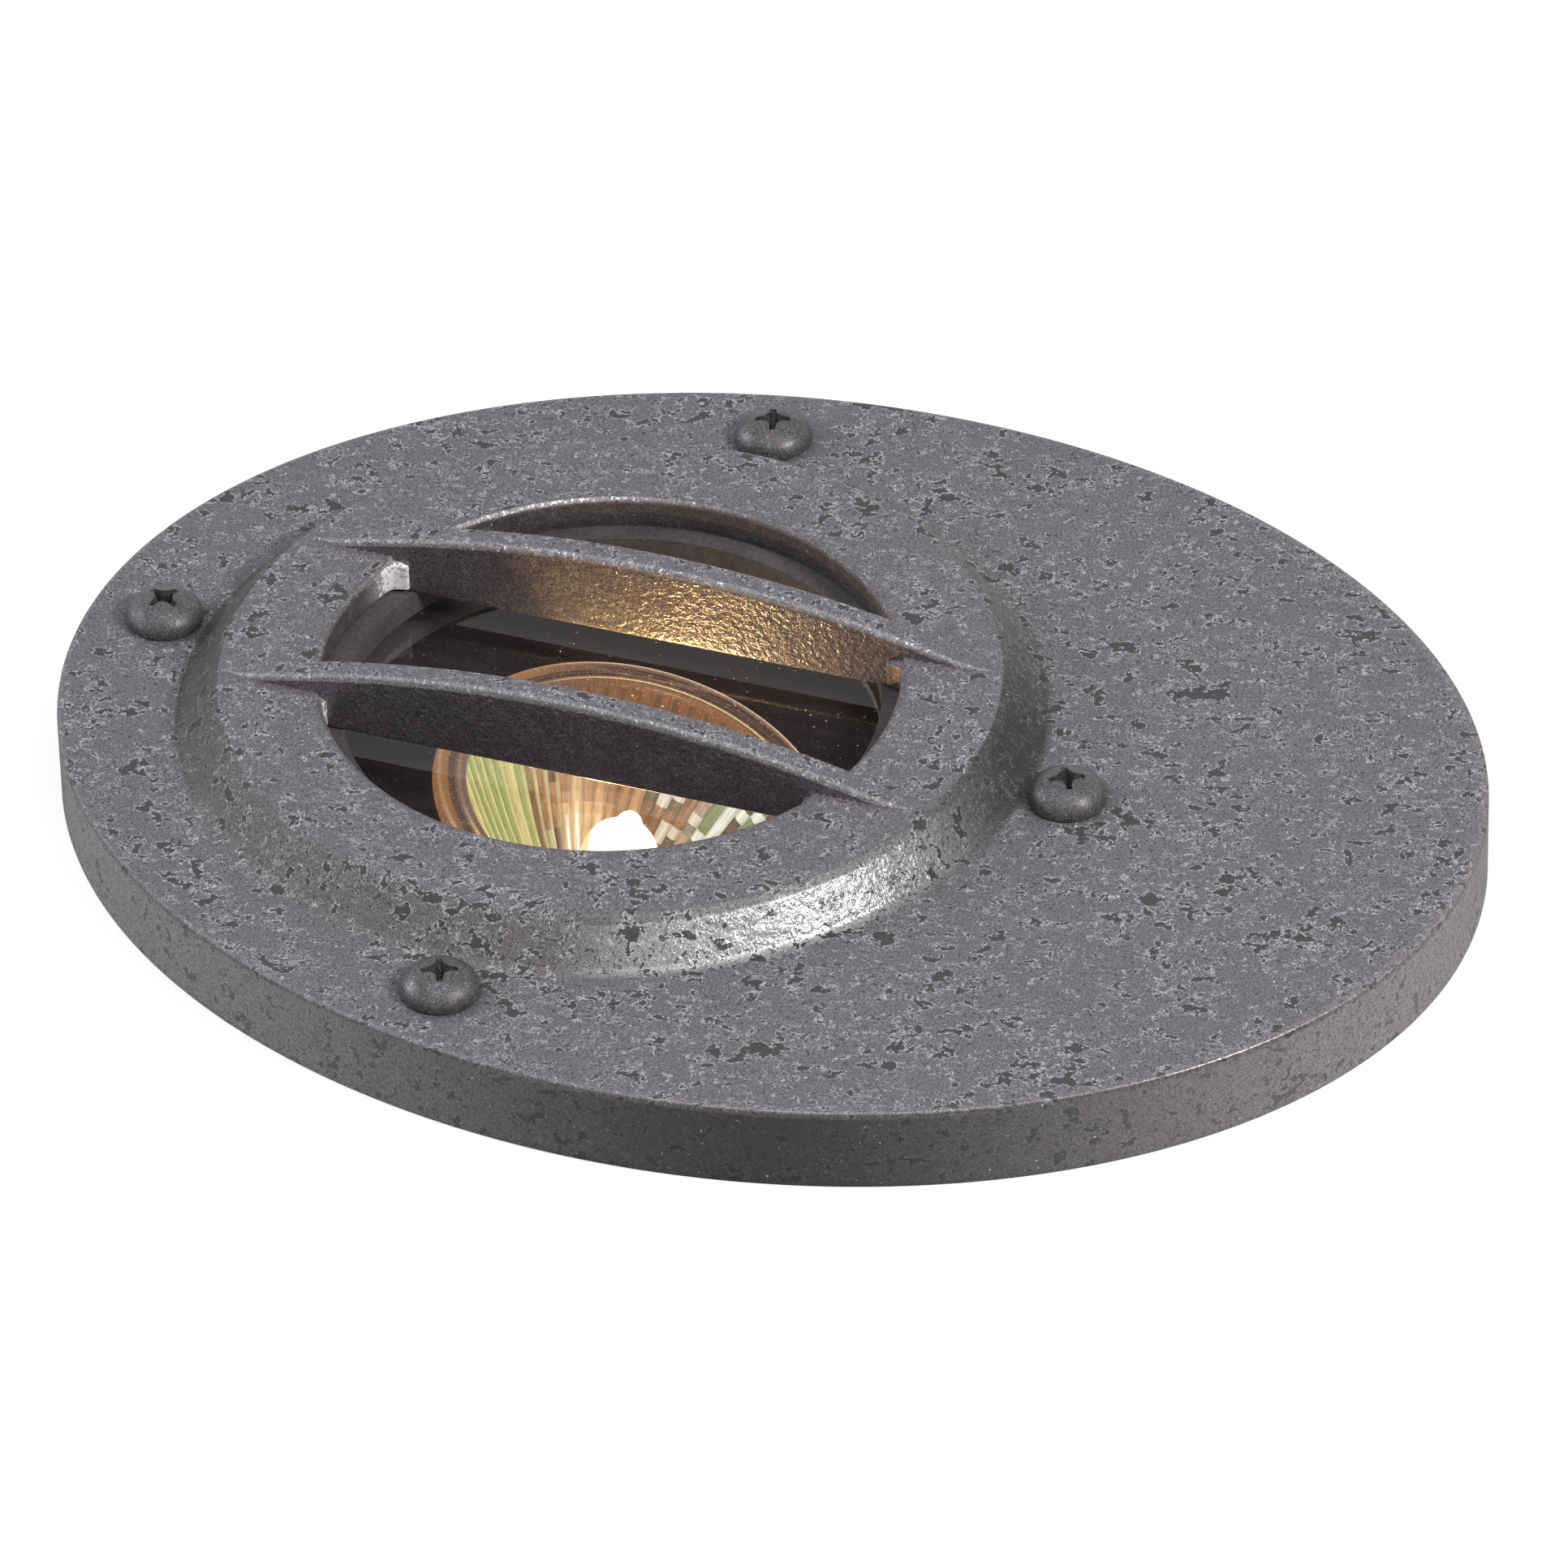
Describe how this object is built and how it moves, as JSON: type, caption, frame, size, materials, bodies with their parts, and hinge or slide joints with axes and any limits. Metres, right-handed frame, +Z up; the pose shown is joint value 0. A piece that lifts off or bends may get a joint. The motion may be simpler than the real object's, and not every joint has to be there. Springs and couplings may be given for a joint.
{
  "type": "in ground well light",
  "caption": "Buried well light: oval cast cover with a louvred round boss over a lens, screwed to a can that holds a swivelling, tilting reflector lamp.",
  "frame": {"origin": "centre of the can's flat underside, on the lamp's swivel axis", "axes": "+Z up along the swivel axis, +X along the oval cover's long axis towards its blank end"},
  "size_m": [0.1778, 0.1525, 0.1335],
  "materials": {
    "cover_casting": "weathered iron textured powder coat",
    "cover_screw": "black oxide, worn",
    "lens": "clear tempered glass with dust",
    "lens_seal": "grey-tan silicone",
    "cover_seal": "black closed-cell foam",
    "zinc_steel": "bright zinc plate",
    "can": "dark glass-filled moulding",
    "brass_insert": "turned brass",
    "gland_nylon": "black nylon",
    "gland_seal": "dark grey rubber",
    "terminal_plastic": "cream moulding",
    "dark_band": "heat-stained dark paint",
    "reflector_glass": "dichroic coated faceted glass",
    "quartz": "clear quartz",
    "filament": "glowing tungsten",
    "lamp_ceramic": "matt cement",
    "lead_sleeve": "white silicone sleeve"
  },
  "bodies": {
    "well": {"well_sleeve": "can", "well_base": "can", "mounting_flange": "can", "cover_inserts": "brass_insert", "swivel_insert": "brass_insert", "swivel_bolt": "zinc_steel", "spring_washer": "zinc_steel", "gland_body": "gland_nylon", "gland_washer": "cover_seal", "gland_locknut": "gland_nylon", "gland_seal": "gland_seal", "gland_nut": "gland_nylon"},
    "cover": {"cover_plate": "cover_casting", "cover_gasket": "cover_seal", "lens_glass": "lens", "lens_gasket": "lens_seal", "lens_retainer": "zinc_steel", "retainer_screws": "zinc_steel", "cover_screws": "cover_screw"},
    "swivel": {"swivel_yoke": "zinc_steel", "terminal_block": "terminal_plastic", "terminal_screws": "brass_insert", "block_screw": "zinc_steel"},
    "lamp_head": {"lamp_band": "dark_band", "tilt_screws": "zinc_steel", "lamp_reflector": "reflector_glass", "lamp_capsule": "quartz", "lamp_filament": "filament", "lamp_base": "lamp_ceramic", "lamp_pins": "zinc_steel", "lamp_socket": "lamp_ceramic", "socket_leads": "lead_sleeve"}
  },
  "joints": [
    {"name": "cover_lift", "type": "slide", "parent": "well", "child": "cover", "axis": [0, 0, 1], "range_m": [0, 0.06]},
    {"name": "lamp_swivel", "type": "hinge", "parent": "well", "child": "swivel", "pos_m": [0, 0, 0.026], "axis": [0, 0, 1], "range_deg": [-175, 175]},
    {"name": "lamp_tilt", "type": "hinge", "parent": "swivel", "child": "lamp_head", "pos_m": [0, 0, 0.09699], "axis": [0, 1, 0], "range_deg": [-35, 5], "deforming": ["socket_leads"]}
  ]
}
